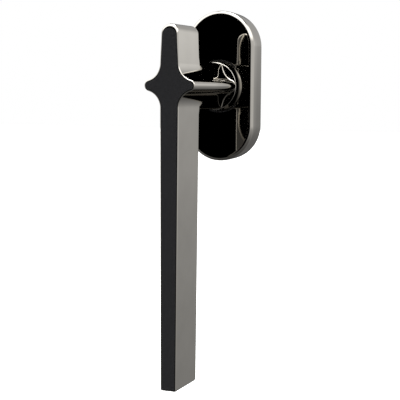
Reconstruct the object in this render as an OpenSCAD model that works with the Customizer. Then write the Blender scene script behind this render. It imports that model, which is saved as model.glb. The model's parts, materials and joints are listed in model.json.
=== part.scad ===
// Tilt turn window handle with a cross shaped lever.
// Millimetres. Y is the spindle axis and -Y points into the room, +Z is up.
// The origin is on the spindle axis in the mounting face of the base.

/* [Lever] */
// Distance from the mounting face to the front face of the lever
projection = 69; // [60:0.5:80]
// Depth of the grip bar, front to back
bar_depth = 22.5; // [14:0.5:26]
// Reach of the bar below the spindle axis
reach_down = 132; // [90:1:160]
// Reach of the short arm above the spindle axis
reach_up = 26; // [20:0.5:40]
// Width of the bar where it meets the cross
bar_w_root = 8.7; // [7:0.1:11]
// Width of the bar at its lower end
bar_w_end = 7.4; // [6:0.1:10]
// Width of the short arm at its round end
arm_w_end = 7.8; // [6:0.1:10]
// Radius of the small corners at the lower end
bar_corner_r = 0.8; // [0.3:0.1:2]
// Radius of the hollow sides of the cross
flute_r = 7.4; // [6:0.1:9]
// Half height of the cross, where its hollow sides end
cross_rise = 9.5; // [8:0.1:12]
// Half span of the cross from tip to tip
cross_reach = 11.6; // [10.5:0.1:14]

/* [Collar] */
// How far the collar stands out past the bush's flange
collar_lip = 1.3; // [1.2:0.1:1.8]
// Step from the upright ridges of the neck up to the collar
collar_step = 0.9; // [0.2:0.1:1.5]
// Length of the full round collar in front of the cover
collar_len = 6.5; // [1.5:0.5:9]

/* [Face plate] */
// Bright edge left around the black face plate
bezel = 0.6; // [0.4:0.1:1.2]
// Bright edge left above the face plate at the round end
bezel_top = 1.8; // [0.6:0.1:2.5]
// Thickness of the face plate
inlay_t = 0.8; // [0.6:0.1:1.5]

/* [Rose] */
// Height of the cover
rose_h = 70; // [66:1:80]
// Width of the cover
rose_w = 33.5; // [32:0.5:40]
// Thickness of the cover, measured from the mounting face
rose_t = 13; // [12.5:0.5:16]
// Wall of the cover
cover_wall = 1.3; // [1:0.1:1.6]
// Gap between the cover's rim and the mounting face
rim_gap = 0.2; // [0.1:0.1:0.5]

/* [Base] */
// Gap between the base and the wall of the cover
cover_gap = 0.4; // [0.2:0.1:0.8]
// Gap between the front of the base and the cover
base_front_gap = 0.9; // [0.8:0.1:1.5]
// Thickness of the base's front wall
front_wall = 3.2; // [2.8:0.1:3.6]
// Distance between the two fixing screws
screw_pitch = 43; // [41:0.5:44]
// Radius of the locating pegs
peg_r = 5; // [4.5:0.1:5.5]
// Length of the locating pegs behind the mounting face
peg_len = 3; // [2:0.5:6]
// Thickness of the closing plate
closing_t = 1; // [0.8:0.1:1.2]
// Thickness of the gasket
gasket_t = 0.8; // [0.5:0.1:1.2]

/* [Spindle] */
// Width across the flats of the spindle
spindle_w = 7; // [7:0.5:8]
// Length of the spindle behind the mounting face
spindle_out = 32; // [25:1:45]
// Length of the spindle inside the lever
spindle_in = 22; // [16:1:26]
// Radius of the cross pin
pin_r = 1.25; // [1:0.05:1.5]

/* [Bearing] */
// Radius of the lever's journal
journal_r = 7; // [6.6:0.1:7.4]
// Wall of the bush's barrel
bush_wall = 1.5; // [1.2:0.1:2]
// Width of the bush's flange outside its barrel
bush_flange_w = 1.9; // [1.5:0.1:2.5]
// Thickness of the bush's flange
bush_flange_t = 0.6; // [0.5:0.1:0.8]
// Thickness of the thrust washer
thrust_t = 0.5; // [0.4:0.1:0.7]
// Thickness of the wave washer
wave_t = 0.4; // [0.3:0.1:0.5]
// Thickness of the steel washer
washer_t = 0.5; // [0.4:0.1:0.7]
// Thickness of the retaining ring
ring_t = 0.9; // [0.8:0.1:1]

/* [Detent] */
// Width across the flats of the cam
cam_w = 14; // [13:0.5:14.5]
// Radius of the cam's corners
cam_corner_r = 2.5; // [2:0.1:4]
// Thickness of the leaf springs
leaf_t = 0.6; // [0.4:0.1:0.7]
// Half length of the leaf springs
leaf_half = 9.2; // [8.6:0.1:9.4]

/* [Screws] */
// Radius of the fixing screws, over the thread
screw_r = 2.5; // [2.5:0.5:3]
// Radius of their plain shank inside the base
shank_r = 2.2; // [2:0.1:2.4]
// Radius of the screws' countersunk heads
screw_head_r = 4.7; // [4.4:0.1:5]
// Length of the fixing screws behind the mounting face
screw_out = 33; // [25:1:45]

/* [Fits] */
// Clearance between parts that turn on each other
run_gap = 0.05; // [0.02:0.01:0.08]
// Clearance between parts that are pushed together
push_gap = 0.02; // [0.01:0.01:0.05]
// Clearance round the collar in the cover's liner
collar_gap = 0.15; // [0.1:0.05:0.3]
// Clearance between pieces that only pass each other
free_gap = 0.15; // [0.1:0.05:0.3]

/* [Hidden] */
$fn = 96;

// Planes across the Y axis, from the room towards the window
bar_back = -projection + bar_depth;
cover_face = -rose_t;
cover_inner = cover_face + cover_wall;
base_front = cover_inner + base_front_gap;
flange_front = base_front - bush_flange_t;
thrust_front = flange_front - run_gap - thrust_t;
shoulder = thrust_front - push_gap;
wall_back = base_front + front_wall;
wave_front = wall_back + run_gap;
washer_front = wave_front + wave_t + push_gap;
ring_front = washer_front + washer_t + push_gap;
ring_back = ring_front + ring_t;
journal_end = ring_back + 0.6;
plate_front = -gasket_t - closing_t;
cam_front = journal_end + push_gap;
cam_back = plate_front - free_gap;
spindle_start = journal_end - spindle_in;
pin_y = (flange_front + wall_back) / 2;

// Bearing
bush_r = journal_r + bush_wall;
bush_flange_r = bush_r + bush_flange_w;
collar_r = bush_flange_r + collar_lip;
neck_r = collar_r - collar_step;

// Cross and flutes
flute_x = bar_w_root / 2 + flute_r;
// Radius of a tip that is tangent to both flutes beside it
tip_r = ((flute_x - cross_reach) * (flute_x - cross_reach) + cross_rise * cross_rise
         - flute_r * flute_r) / (2 * (flute_r - (flute_x - cross_reach)));
collar_front = cover_face - collar_len;
// The neck's surface lies this far inside the blade's
neck_inset = 0.05;

// Cover, liner and base
cover_hole_r = collar_r + collar_gap + 0.45;
liner_flange_r = cover_hole_r + 1.8;
base_w = rose_w - 2 * (cover_wall + cover_gap);
base_h = rose_h - 2 * (cover_wall + cover_gap);
edge_r = 2;
gasket_margin = 1.6;
peg_boss_r = peg_r + 1;
plate_hole_r = spindle_w / sqrt(2) + 0.3;
gasket_hole_r = plate_hole_r + 1.7;
gasket_w = base_w - 2 * gasket_margin;
gasket_h = base_h - 2 * gasket_margin;
// Retaining ring groove, cam and springs
groove_r = journal_r - 0.7;
ring_r = journal_r + 1.6;
washer_r = journal_r + 2.4;
leaf_x = cam_w / 2 + push_gap;
seat_x = leaf_x + leaf_t + free_gap;
// The seats behind the springs' ends stay clear of the washers
leaf_seat_z = max(leaf_half - 1.9, sqrt(max(0, pow(washer_r + 0.3, 2) - seat_x * seat_x)));
pocket_r = norm([leaf_x + leaf_t, leaf_half]) + free_gap;

// Closing plate and its four rivets, outside the pocket
rivet_r = 0.9;
rivet_head_r = 1.5;
rivet_head_t = 0.5;
rivet_x = (pocket_r + 2.2) * cos(52);
rivet_z = (pocket_r + 2.2) * sin(52);
plate_w = 2 * pocket_r;
plate_h = 2 * (rivet_z + 2.2);

// Cover clips
clip_w = 6;
clip_t = 0.4;
clip_front = -8.4;
clip_back = -2.4;
clip_floor = base_h / 2 - 2;
// Highest place of a clip under the cover's round end wall
clip_top = (rose_h - rose_w) / 2 - free_gap
           + sqrt(pow(rose_w / 2 - cover_wall, 2) - clip_w * clip_w / 4);

// Screw head recess and countersink
head_depth = 2.8;
head_front = base_front + 0.4;
screw_hole_r = screw_r + 0.3;
thread_start = peg_len + 2 * free_gap;
screw_z = screw_pitch / 2;

// Turns a shape drawn along +Z so that it runs along +Y, with X kept
module along_y() {
    rotate([-90, 0, 0]) children();
}

// Slab between two Y planes of an outline drawn in X and Z
module slab(y0, y1) {
    translate([0, y1, 0]) rotate([90, 0, 0]) linear_extrude(height = y1 - y0) children();
}

module disc(r, y0, y1) {
    translate([0, y0, 0]) along_y() cylinder(r = r, h = y1 - y0);
}

module stadium(w, h) {
    square([w, h - w], center = true);
    for (s = [-1, 1]) translate([0, s * (h - w) / 2]) circle(d = w);
}

module rounded_square(w, h, r) {
    square([w - 2 * r, h], center = true);
    square([w, h - 2 * r], center = true);
    for (x = [-1, 1], z = [-1, 1]) translate([x * (w / 2 - r), z * (h / 2 - r)]) circle(r = r, $fn = 32);
}

// Cross between the four hollow sides, its two tips rounded
module cross_outline(inset) {
    tip = tip_r - inset;
    difference() {
        square([2 * (cross_reach - inset - tip), 2 * cross_rise], center = true);
        flutes(flute_r + inset);
    }
    for (s = [-1, 1]) translate([s * (cross_reach - inset - tip), 0]) circle(r = tip, $fn = 32);
}

module flutes(r) {
    for (x = [-1, 1], z = [-1, 1]) translate([x * flute_x, z * cross_rise]) circle(r = r);
}

// Outline of bar, cross and arm, drawn smaller by inset on all sides and by top_inset at the top
module lever_outline(inset, top_inset) {
    root = bar_w_root / 2 - inset;
    end = bar_w_end / 2 - inset;
    arm = arm_w_end / 2 - inset;
    low = -reach_down + inset;
    corner = max(bar_corner_r - inset, 0.3);
    arm_centre = reach_up - top_inset - arm;
    polygon([[-root, cross_rise], [-root, -cross_rise], [-end, low + corner],
             [-end + corner, low + corner], [-end + corner, low], [end - corner, low],
             [end - corner, low + corner], [end, low + corner], [root, -cross_rise],
             [root, cross_rise], [arm, arm_centre], [0.6 * arm, arm_centre + 0.6 * arm],
             [-0.6 * arm, arm_centre + 0.6 * arm], [-arm, arm_centre]]);
    for (s = [-1, 1]) translate([s * (end - corner), low + corner]) circle(r = corner, $fn = 32);
    translate([0, arm_centre]) circle(r = arm);
    cross_outline(inset);
}

// Neck of the cross's own section, its upright ridges rounded, and the round collar behind it
module neck() {
    slab(bar_back - 0.5, collar_front + 0.5) {
        difference() {
            intersection() {
                circle(r = neck_r);
                square([2 * (cross_reach - tip_r), 2 * neck_r], center = true);
            }
            flutes(flute_r + neck_inset);
        }
        for (s = [-1, 1]) translate([s * (cross_reach - tip_r), 0]) circle(r = tip_r - neck_inset, $fn = 32);
    }
    disc(collar_r, collar_front, shoulder);
}

module lever() {
    color([0.72, 0.71, 0.69]) difference() {
        union() {
            slab(-projection, bar_back) lever_outline(0, 0);
            neck();
            disc(journal_r, shoulder, journal_end);
        }
        slab(-projection - 1, -projection + inlay_t + push_gap)
            lever_outline(bezel - push_gap, bezel_top - push_gap);
        slab(spindle_start - 0.5, journal_end + 1)
            square(spindle_w + 2 * push_gap, center = true);
        slab(ring_front - push_gap, ring_back + push_gap) difference() {
            circle(r = journal_r + 1);
            circle(r = groove_r);
        }
        translate([0, pin_y, 0]) cylinder(r = pin_r, h = 2 * journal_r + 2, center = true);
    }
}

module front_inlay() {
    color([0.13, 0.13, 0.14]) slab(-projection, -projection + inlay_t)
        lever_outline(bezel, bezel_top);
}

module spindle() {
    color([0.62, 0.63, 0.65]) difference() {
        slab(spindle_start, spindle_out) square(spindle_w, center = true);
        translate([0, pin_y, 0]) cylinder(r = pin_r, h = 2 * spindle_w, center = true);
    }
}

module spindle_pin() {
    color([0.5, 0.5, 0.52]) translate([0, pin_y, 0])
        cylinder(r = pin_r - push_gap, h = 2 * journal_r - 0.6, center = true);
}

module detent_cam() {
    color([0.5, 0.5, 0.52]) slab(cam_front, cam_back) difference() {
        rounded_square(cam_w, cam_w, cam_corner_r);
        square(spindle_w + 2 * push_gap, center = true);
    }
}

module washer(r_out, r_in, y0, t) {
    difference() {
        disc(r_out, y0, y0 + t);
        disc(r_in, y0 - 1, y0 + t + 1);
    }
}

module thrust_washer() {
    color([0.75, 0.75, 0.76])
        washer(bush_flange_r, journal_r + push_gap, thrust_front, thrust_t);
}

module wave_washer() {
    color([0.6, 0.6, 0.62]) washer(washer_r, journal_r + push_gap, wave_front, wave_t);
}

module steel_washer() {
    color([0.75, 0.75, 0.76]) washer(washer_r, journal_r + push_gap, washer_front, washer_t);
}

// Open ring with two ears and a plier hole in each
module retaining_ring() {
    ear_x = 1.5;
    ear_z = ring_r - 0.3;
    color([0.3, 0.3, 0.32]) slab(ring_front, ring_back) difference() {
        union() {
            circle(r = ring_r);
            for (s = [-1, 1]) translate([s * ear_x, ear_z]) circle(r = 1.1, $fn = 32);
        }
        circle(r = groove_r + push_gap);
        translate([0, ring_r]) square([0.8, 8], center = true);
        for (s = [-1, 1]) translate([s * ear_x, ear_z + 0.1]) circle(r = 0.5, $fn = 32);
    }
}

// Solid of the cover's outside: an obround with a rounded front edge
module cover_solid(w, h, front, back, r) {
    slab(front + r, back) stadium(w, h);
    slab(front, front + r + 0.1) stadium(w - 2 * r, h - 2 * r);
    for (s = [-1, 1]) {
        translate([0, front + r, s * (h - w) / 2]) along_y() rotate_extrude()
            translate([w / 2 - r, 0]) intersection() {
                circle(r = r, $fn = 48);
                translate([0, -r]) square([r, r + 0.1]);
            }
        translate([s * (w / 2 - r), front + r, 0])
            cylinder(r = r, h = h - w, center = true, $fn = 48);
    }
}

module rose_cover() {
    color([0.7, 0.69, 0.67]) difference() {
        cover_solid(rose_w, rose_h, cover_face, -rim_gap, edge_r);
        slab(cover_inner, 1) stadium(rose_w - 2 * cover_wall, rose_h - 2 * cover_wall);
        disc(cover_hole_r, cover_face - 1, cover_inner + 1);
    }
}

module cover_ring() {
    color([0.1, 0.1, 0.1]) difference() {
        union() {
            disc(cover_hole_r - push_gap, cover_face + 0.3, cover_inner + 0.4);
            disc(liner_flange_r, cover_inner + push_gap, base_front - free_gap);
        }
        disc(collar_r + collar_gap, cover_face - 1, base_front + 1);
    }
}

module at_rivets() {
    for (x = [-1, 1], z = [-1, 1]) translate([x * rivet_x, 0, z * rivet_z]) children();
}

// Two screw holes with countersinks, through the locating pegs
module screw_holes() {
    for (s = [-1, 1]) translate([0, 0, s * screw_z]) {
        disc(screw_hole_r, base_front - 1, peg_len + 1);
        disc(screw_head_r + 0.2, base_front - 1, head_front);
        translate([0, head_front, 0]) along_y()
            cylinder(r1 = screw_head_r + push_gap, r2 = shank_r + push_gap, h = head_depth);
    }
}

// Pocket of the springs and the cam, with a seat behind each end of a leaf spring
module mechanism_pocket() {
    slab(wall_back, plate_front) difference() {
        circle(r = pocket_r);
        for (x = [-1, 1], z = [-1, 1])
            translate([x * (seat_x + 5), z * (leaf_seat_z + 5)]) square(10, center = true);
    }
}

module base_plate() {
    color([0.66, 0.67, 0.68]) difference() {
        union() {
            slab(base_front, 0) stadium(base_w, base_h);
            for (s = [-1, 1]) translate([0, 0, s * screw_z]) disc(peg_r, -1, peg_len);
        }
        difference() {
            slab(-gasket_t, 0) stadium(gasket_w, gasket_h);
            for (s = [-1, 1]) translate([0, 0, s * screw_z]) disc(peg_boss_r, -gasket_t - 1, 1);
        }
        slab(plate_front, 0) rounded_square(plate_w + 2 * push_gap, plate_h + 2 * push_gap, 2);
        mechanism_pocket();
        disc(bush_r, base_front - 1, wall_back + 1);
        screw_holes();
        for (s = [0, 1]) mirror([0, 0, s]) {
            translate([-clip_w / 2 - free_gap, clip_front - free_gap, clip_floor])
                cube([clip_w + 2 * free_gap, clip_back - clip_front + 2 * free_gap, 4]);
        }
        at_rivets() disc(rivet_r, plate_front - 3, 0);
    }
}

module bearing_bush() {
    color([0.92, 0.91, 0.88]) difference() {
        union() {
            disc(bush_flange_r, flange_front, base_front);
            disc(bush_r - push_gap, base_front, wall_back);
        }
        disc(journal_r + run_gap, flange_front - 1, wall_back + 1);
    }
}

// Straight leaf spring on one side of the cam, with a rounded lip at each end
module leaf_spring(s) {
    color([0.45, 0.47, 0.5]) slab(cam_front, cam_back) {
        translate([s * (leaf_x + leaf_t / 2), 0]) square([leaf_t, 2 * leaf_half], center = true);
    }
}

module detent_spring_left() {
    leaf_spring(-1);
}

module detent_spring_right() {
    leaf_spring(1);
}

// Bent strip that bears on the inside of the cover's end wall
module cover_clip(side) {
    foot = 0.9;
    mid = (clip_front + clip_back) / 2;
    color([0.55, 0.57, 0.6]) mirror([0, 0, side > 0 ? 0 : 1])
        translate([-clip_w / 2, 0, 0]) rotate([90, 0, 90]) linear_extrude(height = clip_w)
            polygon([[clip_front, clip_floor], [clip_front + foot, clip_floor],
                     [mid - 1, clip_top - clip_t], [mid + 1, clip_top - clip_t],
                     [clip_back - foot, clip_floor], [clip_back, clip_floor],
                     [clip_back, clip_floor + clip_t], [clip_back - foot + 0.2, clip_floor + clip_t],
                     [mid + 1.2, clip_top], [mid - 1.2, clip_top],
                     [clip_front + foot - 0.2, clip_floor + clip_t],
                     [clip_front, clip_floor + clip_t]]);
}

module cover_clip_upper() {
    cover_clip(1);
}

module cover_clip_lower() {
    cover_clip(-1);
}

module closing_plate() {
    color([0.7, 0.71, 0.73]) difference() {
        slab(plate_front, plate_front + closing_t) rounded_square(plate_w, plate_h, 2);
        disc(plate_hole_r, plate_front - 1, 0);
        at_rivets() disc(rivet_r, plate_front - 1, 0);
    }
}

module plate_rivets() {
    color([0.6, 0.6, 0.62]) at_rivets() {
        disc(rivet_r - push_gap, plate_front - 2.8, -gasket_t);
        disc(rivet_head_r, plate_front + closing_t, -gasket_t + rivet_head_t);
    }
}

// Countersunk screw with a cross recess
module fixing_screws() {
    color([0.78, 0.78, 0.76]) for (s = [-1, 1]) translate([0, 0, s * screw_z]) difference() {
        union() {
            translate([0, head_front, 0]) along_y()
                cylinder(r1 = screw_head_r, r2 = shank_r, h = head_depth);
            disc(shank_r, head_front + 0.5, thread_start + 0.5);
            disc(screw_r, thread_start, screw_out - 1);
            translate([0, screw_out - 1, 0]) along_y()
                cylinder(r1 = screw_r, r2 = screw_r - 0.8, h = 1);
        }
        slab(head_front - 1, head_front + 1.8) {
            square([4.6, 1], center = true);
            square([1, 4.6], center = true);
        }
    }
}

module gasket() {
    color([0.2, 0.2, 0.2]) slab(-gasket_t, 0) difference() {
        stadium(gasket_w - 2 * free_gap, gasket_h - 2 * free_gap);
        circle(r = gasket_hole_r);
        for (s = [-1, 1]) translate([0, s * screw_z]) circle(r = peg_boss_r + free_gap);
        for (x = [-1, 1], z = [-1, 1])
            translate([x * rivet_x, z * rivet_z]) circle(r = rivet_head_r + free_gap, $fn = 32);
    }
}

lever();
front_inlay();
spindle();
spindle_pin();
detent_cam();
thrust_washer();
wave_washer();
steel_washer();
retaining_ring();
rose_cover();
cover_ring();
base_plate();
bearing_bush();
detent_spring_left();
detent_spring_right();
cover_clip_upper();
cover_clip_lower();
closing_plate();
plate_rivets();
fixing_screws();
gasket();
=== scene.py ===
import json
import math

import bmesh
import bpy
from mathutils import Matrix, Vector


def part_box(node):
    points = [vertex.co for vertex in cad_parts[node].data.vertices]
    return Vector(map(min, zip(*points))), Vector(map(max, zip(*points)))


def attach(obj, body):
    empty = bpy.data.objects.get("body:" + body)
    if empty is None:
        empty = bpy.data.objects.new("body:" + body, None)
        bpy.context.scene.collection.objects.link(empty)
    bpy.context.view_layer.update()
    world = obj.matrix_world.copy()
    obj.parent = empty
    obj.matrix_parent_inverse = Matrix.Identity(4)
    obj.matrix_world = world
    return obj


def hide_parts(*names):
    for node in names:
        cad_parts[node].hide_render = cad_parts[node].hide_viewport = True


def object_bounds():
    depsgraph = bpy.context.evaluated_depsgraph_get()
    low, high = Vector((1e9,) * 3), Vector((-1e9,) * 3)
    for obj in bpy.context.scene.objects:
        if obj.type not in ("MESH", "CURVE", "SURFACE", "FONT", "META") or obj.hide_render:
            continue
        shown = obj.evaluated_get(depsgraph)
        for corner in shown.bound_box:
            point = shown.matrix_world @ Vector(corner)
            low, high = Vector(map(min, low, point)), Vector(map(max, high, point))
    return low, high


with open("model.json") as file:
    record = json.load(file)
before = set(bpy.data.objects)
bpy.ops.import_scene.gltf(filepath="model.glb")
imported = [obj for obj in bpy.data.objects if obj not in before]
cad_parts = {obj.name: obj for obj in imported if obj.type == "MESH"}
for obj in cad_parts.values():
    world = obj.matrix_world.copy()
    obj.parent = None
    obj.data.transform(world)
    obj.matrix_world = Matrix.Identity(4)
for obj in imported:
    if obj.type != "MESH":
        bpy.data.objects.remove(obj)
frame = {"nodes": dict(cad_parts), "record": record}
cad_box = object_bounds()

MM = 0.001

# ---------------------------------------------------------------- camera

CAMERA_PLACE = Vector((195.5, -496.2, -1.75)) * MM
CAMERA_AZIMUTH = 22.96
CAMERA_PITCH = -5.68
CAMERA_ROLL = 0.37
CAMERA_LENS = 99.7
SENSOR_WIDTH = 36.0
NEAREST = 0.01
FARTHEST = 20.0


def add_camera():
    """The camera stands right of the handle and looks slightly down at it, through a long lens."""
    data = bpy.data.cameras.new("camera")
    data.lens = CAMERA_LENS
    data.sensor_width = SENSOR_WIDTH
    data.clip_start = NEAREST
    data.clip_end = FARTHEST
    camera = bpy.data.objects.new("camera", data)
    bpy.context.scene.collection.objects.link(camera)
    turn = Matrix.Rotation(math.radians(CAMERA_AZIMUTH), 4, "Z")
    tilt = Matrix.Rotation(math.radians(90 + CAMERA_PITCH), 4, "X")
    roll = Matrix.Rotation(math.radians(CAMERA_ROLL), 4, "Z")
    camera.matrix_world = Matrix.Translation(CAMERA_PLACE) @ turn @ tilt @ roll
    bpy.context.scene.camera = camera


add_camera()

# ---------------------------------------------------------------- sizes, from the frame

lever_low, lever_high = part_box("lever")
rose_low, rose_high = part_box("rose_cover")
spindle_low, spindle_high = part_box("spindle")
screws_low, screws_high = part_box("fixing_screws")
ring_low, ring_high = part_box("retaining_ring")

# Lever: bar, cross and short upper arm
FRONT = lever_low.y
TOP = lever_high.z
BOTTOM = lever_low.z
CROSS_REACH = lever_high.x
BAR_DEPTH = 22.5 * MM
BAR_BACK = FRONT + BAR_DEPTH
BAR_HALF_ROOT = 4.35 * MM
BAR_HALF_END = 3.7 * MM
ARM_HALF = 3.9 * MM
CORNER_R = 0.8 * MM
LEAST_CORNER_R = 0.15 * MM
FLUTE_R = 7.4 * MM
CROSS_RISE = 9.5 * MM
FLUTE_X = BAR_HALF_ROOT + FLUTE_R
BACK_ROUND = 0.6 * MM
BACK_ROUND_END = 1.8 * MM
BACK_ROUND_FROM = CROSS_RISE + 0.8 * MM
BACK_ROUND_GROWS = 2.0 * MM

# Face plate and the pocket it lies in
BEZEL = 0.6 * MM
BEZEL_TOP = 1.8 * MM
INLAY_DEPTH = 0.8 * MM
INLAY_EDGE = 0.12 * MM
FIT = 0.02 * MM
POCKET_EDGE = 0.03 * MM

# Rose
ROSE_FACE = rose_low.y
ROSE_RIM = rose_high.y
ROSE_WIDTH = rose_high.x - rose_low.x
ROSE_HEIGHT = rose_high.z - rose_low.z
ROSE_WALL = 1.3 * MM
ROSE_EDGE_R = 2.0 * MM
ROSE_ROOT = 0.7 * MM
RIM_EDGE = 0.15 * MM
WALL_DRAFT = 0.36 * MM
ROUND_END_STEPS = 40

# Neck and collar
COLLAR_R = 11.7 * MM
COLLAR_FRONT_R = 11.0 * MM
COLLAR_LEN = 6.5 * MM
COLLAR_FRONT = ROSE_FACE - COLLAR_LEN
COLLAR_EDGE = 0.25 * MM
COLLAR_ROOT = 0.35 * MM
FLARE_SHORT = 0.3 * MM
FLARE_UNDER = 0.01 * MM
NECK_R = 10.8 * MM
NECK_TUCK = 0.008 * MM
TIP_UNDER = 0.1 * MM
NECK_CORNERS = 720
NECK_START = BAR_BACK - 1.0 * MM
NECK_OUT = BAR_BACK + 0.01 * MM
COLLAR_END = ROSE_FACE + 0.6 * MM
RIDGE_ROUND = 2.4 * MM
RIDGE_ROUND_START = 0.3 * MM
RIDGE_GROWS = 1.5 * MM

# Hole in the rose for the collar
HOLE_R = COLLAR_R + 0.6 * MM
HOLE_EDGE = 0.2 * MM
HOLE_EDGE_MID = 0.06 * MM

# Journal
JOURNAL_R = 7.0 * MM
JOURNAL_CORNERS = 64
JOURNAL_START = ROSE_FACE + 0.5 * MM
JOURNAL_OVERLAP = 0.5 * MM
JOURNAL_UNDER = 0.4 * MM
GROOVE_R = 6.3 * MM
JOURNAL_EDGE = 0.2 * MM
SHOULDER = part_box("thrust_washer")[0].y - FIT

# Screws
SCREW_R = 2.5 * MM
SHANK_R = 2.2 * MM
HEAD_R = 4.7 * MM
HEAD_LEN = 2.8 * MM
HEAD_EDGE = 0.15 * MM
SCREW_Z = screws_high.z - HEAD_R
RECESS_REACH = 2.3 * MM
RECESS_HALF = 0.5 * MM
RECESS_DEPTH = 1.8 * MM
THREAD_START = 3.3 * MM
THREAD_PITCH = 0.8 * MM
THREAD_DEPTH = 0.45 * MM
TIP_LEN = 1.0 * MM
TIP_DROP = 0.8 * MM

SPINDLE_EDGE = 0.4 * MM


# ---------------------------------------------------------------- mesh helpers

def arc(cx, cz, r, start, end, steps):
    """Points on a circle in X and Z, from one angle to the other, in degrees."""
    turns = [math.radians(start + (end - start) * i / steps) for i in range(steps + 1)]
    return [(cx + r * math.cos(t), cz + r * math.sin(t)) for t in turns]


SHARP = math.radians(38)
BROAD = math.radians(3)
BROAD_CORNERS = 20
WELD = 0.002 * MM


def new_piece(name, shape, body, slot, *replaces):
    """Closes the shell, makes the object, lets it ride and gives it its finish."""
    bm = bmesh.new()
    shape(bm)
    bmesh.ops.remove_doubles(bm, verts=bm.verts, dist=WELD)
    bmesh.ops.recalc_face_normals(bm, faces=bm.faces)
    for face in bm.faces:
        face.smooth = True
    for edge in bm.edges:
        turn = edge.calc_face_angle(math.pi)
        broad = max(len(face.verts) for face in edge.link_faces) > BROAD_CORNERS
        edge.smooth = turn < (BROAD if broad else SHARP)
    mesh = bpy.data.meshes.new(name)
    bm.to_mesh(mesh)
    bm.free()
    mesh.materials.append(FINISH[slot])
    piece = bpy.data.objects.new(name, mesh)
    bpy.context.scene.collection.objects.link(piece)
    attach(piece, body)
    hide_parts(*replaces)
    weigh_normals(piece)


def weigh_normals(piece):
    """Large flat faces keep their own normal, so flats stay flat between rounded edges."""
    weigh = piece.modifiers.new("weighted_normals", "WEIGHTED_NORMAL")
    weigh.mode = "FACE_AREA"
    weigh.weight = 50
    weigh.keep_sharp = True


def outline_face(bm, points, y):
    """One face in a Y plane, each corner numbered so that later rings know it."""
    station = bm.verts.layers.int.get("station") or bm.verts.layers.int.new("station")
    verts = []
    for i, (x, z) in enumerate(points):
        vert = bm.verts.new((x, y, z))
        vert[station] = i
        verts.append(vert)
    face = bm.faces.new(verts)
    return list(face.edges)


def start_ring(bm, segments, place):
    """A filled ring round the spindle axis, each corner set where place(vert) says."""
    upright = Matrix.Rotation(math.radians(90), 4, "X")
    made = bmesh.ops.create_circle(bm, cap_ends=True, segments=segments, radius=1.0, matrix=upright)
    edges = list(made["verts"][0].link_faces[0].edges)
    for vert in made["verts"]:
        vert.co = place(vert)
    return edges


def on_radius(radius, y):
    """Sets a corner at a radius from the spindle axis, on the side where it stands."""
    def place(vert):
        turn = math.atan2(vert.co.z, vert.co.x)
        return (radius * math.cos(turn), y, radius * math.sin(turn))
    return place


def grow(bm, edges, place):
    """Extrudes a ring of edges and sets each new corner where place(vert) says."""
    made = bmesh.ops.extrude_edge_only(bm, edges=edges)["geom"]
    verts = {part for part in made if isinstance(part, bmesh.types.BMVert)}
    for vert in verts:
        vert.co = place(vert)
    return [part for part in made
            if isinstance(part, bmesh.types.BMEdge) and all(vert in verts for vert in part.verts)]


def grow_to(bm, edges, points, depths):
    """Grows a numbered ring to the same numbers of another outline, each at its own Y."""
    station = bm.verts.layers.int["station"]

    def place(vert):
        x, z = points[vert[station]]
        return (x, depths[vert[station]], z)
    return grow(bm, edges, place)


def between(a, b, t):
    """An outline a share t of the way from outline a to outline b."""
    return [(p[0] + (q[0] - p[0]) * t, p[1] + (q[1] - p[1]) * t) for p, q in zip(a, b)]


def gaps(a, b):
    """How far each corner of an outline is from the same corner of another."""
    return [math.hypot(p[0] - q[0], p[1] - q[1]) for p, q in zip(a, b)]


# ---------------------------------------------------------------- lever

TIP_R = (((FLUTE_X - CROSS_REACH) ** 2 + CROSS_RISE ** 2 - FLUTE_R ** 2)
         / (2 * (FLUTE_R - (FLUTE_X - CROSS_REACH))))
TIP_X = CROSS_REACH - TIP_R
FLUTE_TURN = math.degrees(math.atan2(CROSS_RISE, TIP_X - FLUTE_X))

# Where the straight sides have corners near the cross, in mm from the end of the flutes
NEAR_CROSS = (0.5, 1.0, 1.4, 1.8, 2.2, 2.6, 3.0, 5.0)
BAR_SIDE_MM = 120
ARM_SIDE_MM = 12.6
CURVE_STEPS = 20


def straight(x0, z0, x1, z1, shares):
    """Points on a straight side, each at its share of the length."""
    return [(x0 + (x1 - x0) * s, z0 + (z1 - z0) * s) for s in shares]


def lever_outline(side, top, low):
    """Bar, cross and short arm, set in by side, by top at the round end and by low below."""
    root = BAR_HALF_ROOT - side
    end = BAR_HALF_END - side
    arm = ARM_HALF - side
    corner = max(CORNER_R - side, LEAST_CORNER_R)
    floor = BOTTOM + low
    centre = TOP - top - arm
    right = [(0.0, floor), (end - corner, floor)]
    right += arc(end - corner, floor + corner, corner, -90, 0, 8)
    up_the_bar = [0.5] + [1 - gap / BAR_SIDE_MM for gap in (10.0,) + NEAR_CROSS[::-1]]
    right += straight(end, floor + corner, root, -CROSS_RISE, up_the_bar)
    right += arc(FLUTE_X, -CROSS_RISE, FLUTE_R + side, 180, FLUTE_TURN, CURVE_STEPS)
    right += arc(TIP_X, 0, TIP_R - side, FLUTE_TURN - 180, 180 - FLUTE_TURN, CURVE_STEPS)[1:]
    right += arc(FLUTE_X, CROSS_RISE, FLUTE_R + side, -FLUTE_TURN, -180, CURVE_STEPS)[1:]
    up_the_arm = [gap / ARM_SIDE_MM for gap in NEAR_CROSS + (8.0,)]
    right += straight(root, CROSS_RISE, arm, centre, up_the_arm)
    right += arc(0, centre, arm, 0, 90, CURVE_STEPS)
    left = [(-x, z) for x, z in reversed(right[1:-1])]
    return right + left


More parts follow.
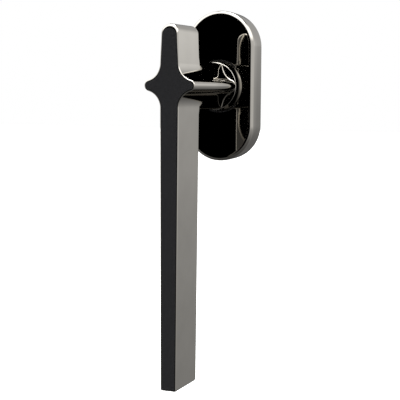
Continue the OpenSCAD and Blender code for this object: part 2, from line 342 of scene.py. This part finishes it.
def round_edge(bm, edges, outer, inner, plane, steps=8):
    """Grows a ring from inner, lying in a plane, round to outer, standing behind it."""
    radii = gaps(outer, inner)
    for i in range(1, steps + 1):
        turn = math.pi / 2 * i / steps
        points = between(outer, inner, 1 - math.sin(turn))
        depths = [plane + r * (1 - math.cos(turn)) for r in radii]
        edges = grow_to(bm, edges, points, depths)
    return edges


def round_back(bm, edges, outer, inner, plane, steps=8):
    """Grows a ring from outer, standing before a plane, round to inner, lying in it."""
    radii = gaps(outer, inner)
    for i in range(steps + 1):
        turn = math.pi / 2 * i / steps
        points = between(outer, inner, 1 - math.cos(turn))
        depths = [plane - r * (1 - math.sin(turn)) for r in radii]
        edges = grow_to(bm, edges, points, depths)
    return edges


def back_weight(z):
    """Where the bar's back edge is rounded: not along the flutes, which run on into the neck."""
    return share_of(abs(z), BACK_ROUND_FROM, BACK_ROUND_FROM + BACK_ROUND_GROWS)


def lever_blade(bm):
    """Bar, cross and arm as one slab, with a pocket for the face plate and rounded edges."""
    outer = lever_outline(0, 0, 0)
    pocket = lever_outline(BEZEL, BEZEL_TOP, BEZEL)
    mouth = lever_outline(BEZEL - FIT, BEZEL_TOP - FIT, BEZEL - FIT)
    count = len(outer)
    edges = outline_face(bm, pocket, FRONT + INLAY_DEPTH + FIT)
    edges = grow_to(bm, edges, pocket, [FRONT + POCKET_EDGE] * count)
    edges = grow_to(bm, edges, mouth, [FRONT] * count)
    edges = round_edge(bm, edges, outer, mouth, FRONT)
    soft = lever_outline(BACK_ROUND, BACK_ROUND, BACK_ROUND_END)
    inner = []
    for sharp_corner, soft_corner in zip(outer, soft):
        weight = back_weight(sharp_corner[1])
        inner += between([sharp_corner], [soft_corner], weight)
    edges = round_back(bm, edges, outer, inner, BAR_BACK)
    bmesh.ops.contextual_create(bm, geom=edges)


def smooth_min(a, b, width):
    """The smaller of two lengths, with the crease between them rounded."""
    share = max(0.0, min(1.0, 0.5 + 0.5 * (b - a) / width))
    return b + (a - b) * share - width * share * (1 - share)


def share_of(value, low, high):
    """How far a value is from low to high, held between 0 and 1."""
    return max(0.0, min(1.0, (value - low) / (high - low)))


def tip_radius(reach):
    """Radius of a tip at this reach that is tangent to the flutes on both sides of it."""
    gap = FLUTE_X - reach
    return (gap ** 2 + CROSS_RISE ** 2 - FLUTE_R ** 2) / (2 * (FLUTE_R - gap))


def section_radius(turn, y):
    """Distance from the spindle axis to the neck: tapering cross tips, flutes, then ridges."""
    c, s = abs(math.cos(turn)), abs(math.sin(turn))
    back = share_of(y, BAR_BACK, COLLAR_FRONT)
    reach = CROSS_REACH + (COLLAR_FRONT_R - TIP_UNDER - CROSS_REACH) * back ** 2
    tip = tip_radius(reach)
    tip_x = reach - tip
    share = FLUTE_R / (FLUTE_R + tip)
    touch_x = FLUTE_X + (tip_x - FLUTE_X) * share
    touch_z = CROSS_RISE * (1 - share)
    if s * touch_x < c * touch_z:
        return tip_x * c + math.sqrt(tip ** 2 - (tip_x * s) ** 2)
    if s * BAR_HALF_ROOT > c * CROSS_RISE:
        inner = BAR_HALF_ROOT / max(c, 0.001)
    else:
        along = c * FLUTE_X + s * CROSS_RISE
        off = c * CROSS_RISE - s * FLUTE_X
        inner = along - math.sqrt(FLUTE_R ** 2 - off ** 2)
    if s < c:
        return inner
    start = share_of(y, BAR_BACK, BAR_BACK + RIDGE_GROWS)
    return smooth_min(NECK_R, inner, RIDGE_ROUND_START + (RIDGE_ROUND - RIDGE_ROUND_START) * start)


def neck_side(y, tuck=0.0):
    """Sets a corner on the neck's own section, or a tuck inside it."""
    def place(vert):
        turn = math.atan2(vert.co.z, vert.co.x)
        radius = section_radius(turn, y) - tuck
        return (radius * math.cos(turn), y, radius * math.sin(turn))
    return place


def neck_end(root):
    """Sets a corner on the hollow rounding between neck and collar, at this turn of it."""
    def place(vert):
        turn = math.atan2(vert.co.z, vert.co.x)
        inner = section_radius(turn, COLLAR_FRONT)
        hollow = min(COLLAR_ROOT, max(0.0, COLLAR_FRONT_R - COLLAR_EDGE - inner))
        radius = inner + hollow * (1 - math.cos(root))
        y = COLLAR_FRONT - hollow * (1 - math.sin(root))
        return (radius * math.cos(turn), y, radius * math.sin(turn))
    return place


def collar_edge(rounding):
    """Sets a corner on the rounded front edge of the collar, at this turn of it."""
    def place(vert):
        turn = math.atan2(vert.co.z, vert.co.x)
        radius = COLLAR_FRONT_R - COLLAR_EDGE + COLLAR_EDGE * math.sin(rounding)
        radius = max(radius, section_radius(turn, COLLAR_FRONT))
        y = COLLAR_FRONT + COLLAR_EDGE * (1 - math.cos(rounding))
        return (radius * math.cos(turn), y, radius * math.sin(turn))
    return place


def lever_neck(bm):
    """Cross shaped neck, hollow rounded at its end up to the front of the flared collar."""
    edges = start_ring(bm, NECK_CORNERS, neck_side(NECK_START, tuck=NECK_TUCK))
    edges = grow(bm, edges, neck_side(NECK_OUT, tuck=NECK_TUCK))
    rows, quarter, flare = 12, 6, 12
    for i in range(1, rows + 1):
        y = BAR_BACK + (COLLAR_FRONT - COLLAR_ROOT - BAR_BACK) * i / rows
        edges = grow(bm, edges, neck_side(y))
    for i in range(1, quarter + 1):
        edges = grow(bm, edges, neck_end(math.pi / 2 * i / quarter))
    for i in range(quarter + 1):
        edges = grow(bm, edges, collar_edge(math.pi / 2 * i / quarter))
    flare_r = COLLAR_R - FLARE_UNDER
    flare_len = COLLAR_LEN - COLLAR_EDGE - FLARE_SHORT
    for i in range(1, flare + 1):
        radius = COLLAR_FRONT_R + (flare_r - COLLAR_FRONT_R) * (i / flare) ** 2
        edges = grow(bm, edges, on_radius(radius, COLLAR_FRONT + COLLAR_EDGE + flare_len * i / flare))
    edges = grow(bm, edges, on_radius(flare_r, COLLAR_END))
    bmesh.ops.contextual_create(bm, geom=edges)


def lever_journal(bm):
    """Turned end inside the rose: shoulder, journal and the retaining ring's groove."""
    end = lever_high.y
    profile = [(COLLAR_R, JOURNAL_START), (COLLAR_R, SHOULDER - JOURNAL_EDGE),
               (COLLAR_R - JOURNAL_EDGE, SHOULDER), (JOURNAL_R, SHOULDER),
               (JOURNAL_R, ring_low.y - FIT), (GROOVE_R, ring_low.y - FIT),
               (GROOVE_R, ring_high.y + FIT), (JOURNAL_R, ring_high.y + FIT),
               (JOURNAL_R, end - JOURNAL_EDGE), (JOURNAL_R - JOURNAL_EDGE, end)]
    inside = on_radius(COLLAR_R - JOURNAL_UNDER, JOURNAL_START - JOURNAL_OVERLAP)
    edges = start_ring(bm, JOURNAL_CORNERS, inside)
    for radius, y in profile:
        edges = grow(bm, edges, on_radius(radius, y))
    bmesh.ops.contextual_create(bm, geom=edges)


def lever_casting(bm):
    """The whole lever: its blade, neck and journal run into each other."""
    lever_blade(bm)
    lever_neck(bm)
    lever_journal(bm)


# ---------------------------------------------------------------- rose

def stadium(inset):
    """The rose's outline with round ends, set in from its outside."""
    r = ROSE_WIDTH / 2 - inset
    rise = (ROSE_HEIGHT - ROSE_WIDTH) / 2
    return arc(0, rise, r, 0, 180, ROUND_END_STEPS) + arc(0, -rise, r, 180, 360, ROUND_END_STEPS)


def rose_shell(bm):
    """Cover of the rose: a shell with rounded edges, slightly bowed walls and the collar's hole."""
    back = ROSE_FACE + ROSE_WALL
    count = len(stadium(0))

    def hole(radius):
        return [(radius * x / math.hypot(x, z), radius * z / math.hypot(x, z)) for x, z in stadium(0)]

    edges = outline_face(bm, hole(HOLE_R), back)
    bmesh.ops.delete(bm, geom=list(bm.faces), context="FACES_ONLY")
    edges = grow_to(bm, edges, hole(HOLE_R), [ROSE_FACE + HOLE_EDGE] * count)
    edges = grow_to(bm, edges, hole(HOLE_R + HOLE_EDGE_MID), [ROSE_FACE + HOLE_EDGE_MID] * count)
    edges = grow_to(bm, edges, hole(HOLE_R + HOLE_EDGE), [ROSE_FACE] * count)
    flat = stadium(ROSE_EDGE_R)
    edges = grow_to(bm, edges, flat, [ROSE_FACE] * count)
    edges = round_edge(bm, edges, stadium(0), flat, ROSE_FACE, steps=14)
    bow = 10
    wall_start = ROSE_FACE + ROSE_EDGE_R
    for i in range(1, bow + 1):
        depth = wall_start + (ROSE_RIM - RIM_EDGE - wall_start) * i / bow
        edges = grow_to(bm, edges, stadium(WALL_DRAFT * (i / bow) ** 2), [depth] * count)
    edges = grow_to(bm, edges, stadium(WALL_DRAFT + RIM_EDGE), [ROSE_RIM] * count)
    edges = grow_to(bm, edges, stadium(ROSE_WALL), [ROSE_RIM] * count)
    edges = grow_to(bm, edges, stadium(ROSE_WALL), [back + ROSE_ROOT] * count)
    edges = grow_to(bm, edges, stadium(ROSE_WALL + ROSE_ROOT), [back] * count)
    grow_to(bm, edges, hole(HOLE_R), [back] * count)


# ---------------------------------------------------------------- hardware

def face_plate(bm):
    """Black plate that fills the lever's pocket, flush with its front."""
    gap, inset = BEZEL + FIT, BEZEL + FIT + INLAY_EDGE
    outer = lever_outline(gap, BEZEL_TOP + FIT, gap)
    inner = lever_outline(inset, BEZEL_TOP + FIT + INLAY_EDGE, inset)
    edges = outline_face(bm, inner, FRONT)
    edges = round_edge(bm, edges, outer, inner, FRONT, steps=4)
    edges = grow_to(bm, edges, outer, [FRONT + INLAY_DEPTH] * len(outer))
    bmesh.ops.contextual_create(bm, geom=edges)


def square_bar(bm):
    """Drawn square spindle with its edges broken."""
    made = bmesh.ops.create_cube(bm, size=1.0)
    bmesh.ops.scale(bm, vec=spindle_high - spindle_low, verts=made["verts"])
    bmesh.ops.translate(bm, vec=(spindle_low + spindle_high) / 2, verts=made["verts"])
    bmesh.ops.bevel(bm, geom=list(bm.edges), offset=SPINDLE_EDGE, segments=3, profile=0.5,
                    affect="EDGES", material=-1)


def threaded_screw(bm, z):
    """Countersunk screw with a cross recess, a plain shank and a helical thread."""
    head = screws_low.y
    tip = screws_high.y - TIP_LEN
    corner = math.degrees(math.atan2(RECESS_HALF, RECESS_REACH))
    corners = {(90 * i + side * corner) % 360 for i in range(4) for side in (-1, 1)}
    turns = [math.radians(turn) for turn in sorted(corners | {7.5 * i for i in range(48)})]

    def section(radius_of):
        return [(radius_of(turn) * math.cos(turn), z + radius_of(turn) * math.sin(turn))
                for turn in turns]

    def plain(radius):
        return lambda turn: radius

    def recess(turn):
        c, s = max(abs(math.cos(turn)), 0.001), max(abs(math.sin(turn)), 0.001)
        return max(min(RECESS_REACH / c, RECESS_HALF / s), min(RECESS_HALF / c, RECESS_REACH / s))

    def thread(y):
        fade = max(0.0, min(1.0, (y - THREAD_START) / THREAD_PITCH, (tip - y) / THREAD_PITCH))

        def radius_of(turn):
            phase = ((y - THREAD_START) / THREAD_PITCH - turn / (2 * math.pi)) % 1.0
            return SCREW_R - THREAD_DEPTH * fade * (1 - abs(2 * phase - 1))
        return radius_of

    edges = outline_face(bm, section(recess), head + RECESS_DEPTH)
    rings = [(head, recess), (head, plain(HEAD_R - HEAD_EDGE)), (head + HEAD_EDGE, plain(HEAD_R)),
             (head + HEAD_LEN, plain(SHANK_R)), (THREAD_START, plain(SHANK_R))]
    rows = round((tip - THREAD_START) / THREAD_PITCH * 6)
    for i in range(rows + 1):
        y = THREAD_START + (tip - THREAD_START) * i / rows
        rings.append((y, thread(y)))
    rings.append((screws_high.y, plain(SCREW_R - TIP_DROP)))
    for y, radius_of in rings:
        edges = grow_to(bm, edges, section(radius_of), [y] * len(turns))
    bmesh.ops.contextual_create(bm, geom=edges)


def threaded_screws(bm):
    """The lower and the upper fixing screw."""
    for side in (-1, 1):
        threaded_screw(bm, side * SCREW_Z)


# ---------------------------------------------------------------- materials

def linear(hex_code):
    """An sRGB hex colour as the linear colour that shaders use."""
    values = [int(hex_code[i:i + 2], 16) / 255 for i in (1, 3, 5)]
    curve = [v / 12.92 if v <= 0.04045 else ((v + 0.055) / 1.055) ** 2.4 for v in values]
    return (*curve, 1.0)


def add_node(tree, kind, settings=None, inputs=None, stops=None):
    """Adds a node with its settings, its inputs (values or other sockets) and its ramp's stops."""
    node = tree.nodes.new(kind)
    for name, value in (settings or {}).items():
        setattr(node, name, value)
    for name, value in (inputs or {}).items():
        if isinstance(value, bpy.types.NodeSocket):
            tree.links.new(value, node.inputs[name])
        else:
            node.inputs[name].default_value = value
    if stops:
        elements = node.color_ramp.elements
        elements[0].position, elements[0].color = stops[0]
        elements[1].position, elements[1].color = stops[-1]
        for position, colour in stops[1:-1]:
            elements.new(position).color = colour
    return node


# Sizes of the patterns in the finishes
POLISH_HAZE = 11.1 * MM
COAT_GRAIN = 0.385 * MM
DRAWN_LINES = 0.455 * MM
OIL_CLOUD = 2.0 * MM
ROLLED_LINES = 0.333 * MM
NYLON_GRAIN = 0.417 * MM
CAST_CLOUD = 5.56 * MM
CAST_SKIN = 0.556 * MM
WAXY_CLOUD = 3.33 * MM
FOAM_CELLS = 0.588 * MM


def start_material(name):
    """A material with its tree, its shader and the place on the piece, in metres."""
    material = bpy.data.materials.new(name)
    material.use_nodes = True
    tree = material.node_tree
    shader = tree.nodes["Principled BSDF"]
    place = add_node(tree, "ShaderNodeTexCoord").outputs["Object"]
    return material, tree, shader, place


def grey(value):
    return (value, value, value, 1.0)


def polished_chrome():
    """Bright chrome plate on a buffed casting: a clear mirror with a faint polishing haze."""
    material, tree, shader, place = start_material("polished_chrome_plate")
    shader.inputs["Metallic"].default_value = 1.0
    haze = add_node(tree, "ShaderNodeTexNoise", inputs={
        "Vector": place, "Scale": 1 / POLISH_HAZE, "Detail": 4.0})
    tint = add_node(tree, "ShaderNodeValToRGB", inputs={"Fac": haze.outputs["Fac"]}, stops=[
        (0.3, linear("#CFCBC3")), (0.7, linear("#D6D2CA"))])
    tree.links.new(tint.outputs["Color"], shader.inputs["Base Color"])
    rough = add_node(tree, "ShaderNodeMapRange", inputs={
        "Value": haze.outputs["Fac"], "From Min": 0.3, "From Max": 0.7, "To Min": 0.015, "To Max": 0.03})
    tree.links.new(rough.outputs["Result"], shader.inputs["Roughness"])
    return material


def matt_black_coat():
    """Matt black powder coat: a fine even grain that never mirrors, drawn coarser than real to show."""
    material, tree, shader, place = start_material("matt_black_powder_coat")
    grain = add_node(tree, "ShaderNodeTexNoise", inputs={
        "Vector": place, "Scale": 1 / COAT_GRAIN, "Detail": 3.0})
    colour = add_node(tree, "ShaderNodeValToRGB", inputs={"Fac": grain.outputs["Fac"]}, stops=[
        (0.35, linear("#171719")), (0.65, linear("#1F1F21"))])
    tree.links.new(colour.outputs["Color"], shader.inputs["Base Color"])
    shader.inputs["Roughness"].default_value = 0.62
    shader.inputs["Specular IOR Level"].default_value = 0.22
    bump = add_node(tree, "ShaderNodeBump", inputs={
        "Height": grain.outputs["Fac"], "Strength": 0.25, "Distance": 0.02 * MM})
    tree.links.new(bump.outputs["Normal"], shader.inputs["Normal"])
    return material


def zinc_plated_steel():
    """Bright zinc plate on drawn steel: pale grey with lines along it, wider than real to show."""
    material, tree, shader, place = start_material("zinc_plated_steel")
    shader.inputs["Metallic"].default_value = 1.0
    stretch = add_node(tree, "ShaderNodeMapping", inputs={"Vector": place, "Scale": (1.0, 0.06, 1.0)})
    lines = add_node(tree, "ShaderNodeTexNoise", inputs={
        "Vector": stretch.outputs["Vector"], "Scale": 1 / DRAWN_LINES, "Detail": 3.0})
    colour = add_node(tree, "ShaderNodeValToRGB", inputs={"Fac": lines.outputs["Fac"]}, stops=[
        (0.3, linear("#A9ACB0")), (0.7, linear("#C6C8CA"))])
    tree.links.new(colour.outputs["Color"], shader.inputs["Base Color"])
    rough = add_node(tree, "ShaderNodeMapRange", inputs={
        "Value": lines.outputs["Fac"], "To Min": 0.26, "To Max": 0.42})
    tree.links.new(rough.outputs["Result"], shader.inputs["Roughness"])
    bump = add_node(tree, "ShaderNodeBump", inputs={
        "Height": lines.outputs["Fac"], "Strength": 0.12, "Distance": 0.01 * MM})
    tree.links.new(bump.outputs["Normal"], shader.inputs["Normal"])
    return material


def blackened_steel():
    """Oiled, blackened steel of the cam, pin and ring: dark with a soft sheen."""
    material, tree, shader, place = start_material("blackened_steel")
    shader.inputs["Metallic"].default_value = 1.0
    cloud = add_node(tree, "ShaderNodeTexNoise", inputs={
        "Vector": place, "Scale": 1 / OIL_CLOUD, "Detail": 5.0})
    colour = add_node(tree, "ShaderNodeValToRGB", inputs={"Fac": cloud.outputs["Fac"]}, stops=[
        (0.3, linear("#2A2B2E")), (0.75, linear("#4A4A4C"))])
    tree.links.new(colour.outputs["Color"], shader.inputs["Base Color"])
    rough = add_node(tree, "ShaderNodeMapRange", inputs={
        "Value": cloud.outputs["Fac"], "To Min": 0.3, "To Max": 0.5})
    tree.links.new(rough.outputs["Result"], shader.inputs["Roughness"])
    return material


def spring_strip():
    """Cold rolled spring strip: blue grey with lengthwise rolling lines, wider than real to show."""
    material, tree, shader, place = start_material("spring_steel_strip")
    shader.inputs["Metallic"].default_value = 1.0
    stretch = add_node(tree, "ShaderNodeMapping", inputs={"Vector": place, "Scale": (1.0, 1.0, 0.05)})
    lines = add_node(tree, "ShaderNodeTexNoise", inputs={
        "Vector": stretch.outputs["Vector"], "Scale": 1 / ROLLED_LINES, "Detail": 2.0})
    colour = add_node(tree, "ShaderNodeValToRGB", inputs={"Fac": lines.outputs["Fac"]}, stops=[
        (0.3, linear("#7F858D")), (0.7, linear("#A0A5AB"))])
    tree.links.new(colour.outputs["Color"], shader.inputs["Base Color"])
    rough = add_node(tree, "ShaderNodeMapRange", inputs={
        "Value": lines.outputs["Fac"], "To Min": 0.22, "To Max": 0.36})
    tree.links.new(rough.outputs["Result"], shader.inputs["Roughness"])
    return material


def black_nylon():
    """Moulded black nylon liner: satin with a spark eroded grain, drawn coarser than real to show."""
    material, tree, shader, place = start_material("moulded_black_nylon")
    grain = add_node(tree, "ShaderNodeTexNoise", inputs={
        "Vector": place, "Scale": 1 / NYLON_GRAIN, "Detail": 3.0})
    colour = add_node(tree, "ShaderNodeValToRGB", inputs={"Fac": grain.outputs["Fac"]}, stops=[
        (0.3, linear("#121213")), (0.7, linear("#1B1B1C"))])
    tree.links.new(colour.outputs["Color"], shader.inputs["Base Color"])
    shader.inputs["Roughness"].default_value = 0.5
    bump = add_node(tree, "ShaderNodeBump", inputs={
        "Height": grain.outputs["Fac"], "Strength": 0.3, "Distance": 0.02 * MM})
    tree.links.new(bump.outputs["Normal"], shader.inputs["Normal"])
    return material


def cast_zinc():
    """Zinc alloy as die cast: dull grey, cloudy, with a fine pebbled casting skin."""
    material, tree, shader, place = start_material("die_cast_zinc_alloy")
    shader.inputs["Metallic"].default_value = 1.0
    cloud = add_node(tree, "ShaderNodeTexNoise", inputs={
        "Vector": place, "Scale": 1 / CAST_CLOUD, "Detail": 6.0})
    skin = add_node(tree, "ShaderNodeTexNoise", inputs={
        "Vector": place, "Scale": 1 / CAST_SKIN, "Detail": 3.0})
    colour = add_node(tree, "ShaderNodeValToRGB", inputs={"Fac": cloud.outputs["Fac"]}, stops=[
        (0.3, linear("#8E9093")), (0.7, linear("#ABADAF"))])
    tree.links.new(colour.outputs["Color"], shader.inputs["Base Color"])
    rough = add_node(tree, "ShaderNodeMapRange", inputs={
        "Value": cloud.outputs["Fac"], "To Min": 0.42, "To Max": 0.62})
    tree.links.new(rough.outputs["Result"], shader.inputs["Roughness"])
    bump = add_node(tree, "ShaderNodeBump", inputs={
        "Height": skin.outputs["Fac"], "Strength": 0.35, "Distance": 0.03 * MM})
    tree.links.new(bump.outputs["Normal"], shader.inputs["Normal"])
    return material


def white_acetal():
    """Moulded acetal bush: creamy white, slightly waxy."""
    material, tree, shader, place = start_material("moulded_white_acetal")
    cloud = add_node(tree, "ShaderNodeTexNoise", inputs={
        "Vector": place, "Scale": 1 / WAXY_CLOUD, "Detail": 3.0})
    colour = add_node(tree, "ShaderNodeValToRGB", inputs={"Fac": cloud.outputs["Fac"]}, stops=[
        (0.3, linear("#E9E6DC")), (0.7, linear("#F1EFE7"))])
    tree.links.new(colour.outputs["Color"], shader.inputs["Base Color"])
    shader.inputs["Roughness"].default_value = 0.38
    shader.inputs["Subsurface Weight"].default_value = 0.1
    shader.inputs["Subsurface Scale"].default_value = 0.5 * MM
    return material


def cell_foam():
    """Closed cell foam gasket: dark grey, dull, with small burst cells."""
    material, tree, shader, place = start_material("closed_cell_foam")
    cells = add_node(tree, "ShaderNodeTexVoronoi", inputs={"Vector": place, "Scale": 1 / FOAM_CELLS})
    colour = add_node(tree, "ShaderNodeValToRGB", inputs={"Fac": cells.outputs["Distance"]}, stops=[
        (0.05, linear("#1C1C1D")), (0.6, linear("#3A3A3B"))])
    tree.links.new(colour.outputs["Color"], shader.inputs["Base Color"])
    shader.inputs["Roughness"].default_value = 0.9
    bump = add_node(tree, "ShaderNodeBump", inputs={
        "Height": cells.outputs["Distance"], "Strength": 0.6, "Distance": 0.08 * MM})
    tree.links.new(bump.outputs["Normal"], shader.inputs["Normal"])
    return material


FINISH = {
    "chrome": polished_chrome(),
    "black_plate": matt_black_coat(),
    "zinc_steel": zinc_plated_steel(),
    "dark_steel": blackened_steel(),
    "spring_steel": spring_strip(),
    "black_nylon": black_nylon(),
    "die_cast_zinc": cast_zinc(),
    "white_acetal": white_acetal(),
    "foam": cell_foam(),
}

# ---------------------------------------------------------------- pieces

new_piece("lever_casting", lever_casting, "lever", "chrome", "lever")
new_piece("face_plate", face_plate, "lever", "black_plate", "front_inlay")
new_piece("rose_shell", rose_shell, "cover", "chrome", "rose_cover")
new_piece("square_spindle", square_bar, "lever", "zinc_steel", "spindle")
new_piece("threaded_screws", threaded_screws, "base", "zinc_steel", "fixing_screws")

SLOT_OF = {part["node"]: part["material_slot"] for part in frame["record"]["subparts"]}
for name, node in frame["nodes"].items():
    if not node.material_slots:
        node.data.materials.append(FINISH[SLOT_OF[name]])
    for slot in node.material_slots:
        slot.material = FINISH[SLOT_OF[name]]

# ---------------------------------------------------------------- floor and light

FLOOR_DROP = 120 * MM
FLOOR_HALF = 6.0


def add_floor():
    """A pale floor far enough below to show no shadow line and out of every mirror image."""
    bm = bmesh.new()
    bmesh.ops.create_grid(bm, x_segments=1, y_segments=1, size=FLOOR_HALF)
    bmesh.ops.translate(bm, vec=(0, 0, cad_box[0][2] - FLOOR_DROP), verts=bm.verts)
    mesh = bpy.data.meshes.new("floor")
    bm.to_mesh(mesh)
    bm.free()
    floor = bpy.data.objects.new("floor", mesh)
    bpy.context.scene.collection.objects.link(floor)
    material, tree, shader, place = start_material("pale_floor")
    shader.inputs["Base Color"].default_value = linear("#F2F2F0")
    shader.inputs["Roughness"].default_value = 0.9
    shader.inputs["Emission Color"].default_value = grey(1.0)
    shader.inputs["Emission Strength"].default_value = 0.75
    mesh.materials.append(material)
    floor.visible_glossy = False


def greys(stops):
    return [(position, grey(value)) for position, value in stops]


def facing(tree, way, azimuth, stops, rise=0):
    """Brightness by how nearly a direction points to a compass angle, 0 at -Y and 90 at +X."""
    turn, up = math.radians(azimuth), math.radians(rise)
    aim = (math.sin(turn) * math.cos(up), -math.cos(turn) * math.cos(up), math.sin(up))
    dot = add_node(tree, "ShaderNodeVectorMath", {"operation": "DOT_PRODUCT"}, {0: way, 1: aim})
    ramp = add_node(tree, "ShaderNodeValToRGB", inputs={"Fac": dot.outputs["Value"]}, stops=greys(stops))
    return ramp.outputs["Color"]


# Brightness by height, from straight down at 0 to straight up at 1
AROUND = [(0.0, 0.05), (0.2, 0.12), (0.4, 0.35), (0.47, 0.6), (0.62, 0.7), (0.7, 1.8), (1.0, 1.8)]
BEHIND = [(0.0, 0.05), (0.2, 0.15), (0.31, 0.22), (0.39, 0.28), (0.44, 0.34), (0.465, 0.39),
          (0.49, 0.43), (0.505, 0.51), (0.52, 0.66), (0.54, 0.78), (0.69, 0.8), (1.0, 0.8)]
BEHIND_AZIMUTH = 175
DIM_AZIMUTH = 203
FRONT_AZIMUTH = -8
GAP_RISE = 60
FIRST, SECOND, MIXED = 6, 7, 2


def add_world():
    """A studio that is black in front of the handle, white above, paler behind and dim below."""
    world = bpy.data.worlds.new("studio")
    bpy.context.scene.world = world
    world.use_nodes = True
    tree = world.node_tree
    tree.nodes.clear()
    way = add_node(tree, "ShaderNodeTexCoord").outputs["Generated"]
    parts = add_node(tree, "ShaderNodeSeparateXYZ", inputs={"Vector": way})
    height = add_node(tree, "ShaderNodeMapRange", inputs={
        "Value": parts.outputs["Z"], "From Min": -1.0, "From Max": 1.0})
    around, behind = [
        add_node(tree, "ShaderNodeValToRGB", inputs={"Fac": height.outputs["Result"]}, stops=greys(stops))
        for stops in (AROUND, BEHIND)]
    share = facing(tree, way, BEHIND_AZIMUTH, [(0.7, 0.0), (0.8, 1.0)])
    studio = add_node(tree, "ShaderNodeMix", {"data_type": "RGBA"}, {
        "Factor": share, FIRST: around.outputs["Color"], SECOND: behind.outputs["Color"]})
    shades = [facing(tree, way, DIM_AZIMUTH, [(0.69, 1.0), (0.77, 0.6), (0.92, 0.5), (1.0, 0.16)]),
              facing(tree, way, FRONT_AZIMUTH, [(0.62, 1.0), (0.74, 0.0)]),
              facing(tree, way, BEHIND_AZIMUTH, [(0.84, 1.0), (0.9, 0.1)], rise=GAP_RISE)]
    for shade in shades:
        studio = add_node(tree, "ShaderNodeMix", {"data_type": "RGBA", "blend_type": "MULTIPLY"}, {
            "Factor": 1.0, FIRST: studio.outputs[MIXED], SECOND: shade})
    seen = add_node(tree, "ShaderNodeLightPath").outputs["Is Camera Ray"]
    backdrop = add_node(tree, "ShaderNodeMix", {"data_type": "RGBA"}, {
        "Factor": seen, FIRST: studio.outputs[MIXED], SECOND: grey(1.0)})
    light = add_node(tree, "ShaderNodeBackground", inputs={"Color": backdrop.outputs[MIXED]})
    add_node(tree, "ShaderNodeOutputWorld", inputs={"Surface": light.outputs["Background"]})


SOFTBOX_PLACE = Vector((0.1, 0.1, 1.2))
SOFTBOX_AIM = Vector((0, -0.03, -0.03))
SOFTBOX_SIDE = 0.9
SOFTBOX_WATTS = 14.0


def add_softbox():
    """A wide soft light from above."""
    data = bpy.data.lights.new("top_softbox", "AREA")
    data.shape = "RECTANGLE"
    data.size = SOFTBOX_SIDE
    data.size_y = SOFTBOX_SIDE
    data.energy = SOFTBOX_WATTS
    lamp = bpy.data.objects.new("top_softbox", data)
    bpy.context.scene.collection.objects.link(lamp)
    lamp.location = SOFTBOX_PLACE
    lamp.rotation_euler = (SOFTBOX_AIM - SOFTBOX_PLACE).to_track_quat("-Z", "Y").to_euler()


add_floor()
add_world()
add_softbox()
bpy.context.scene.view_settings.view_transform = "Standard"
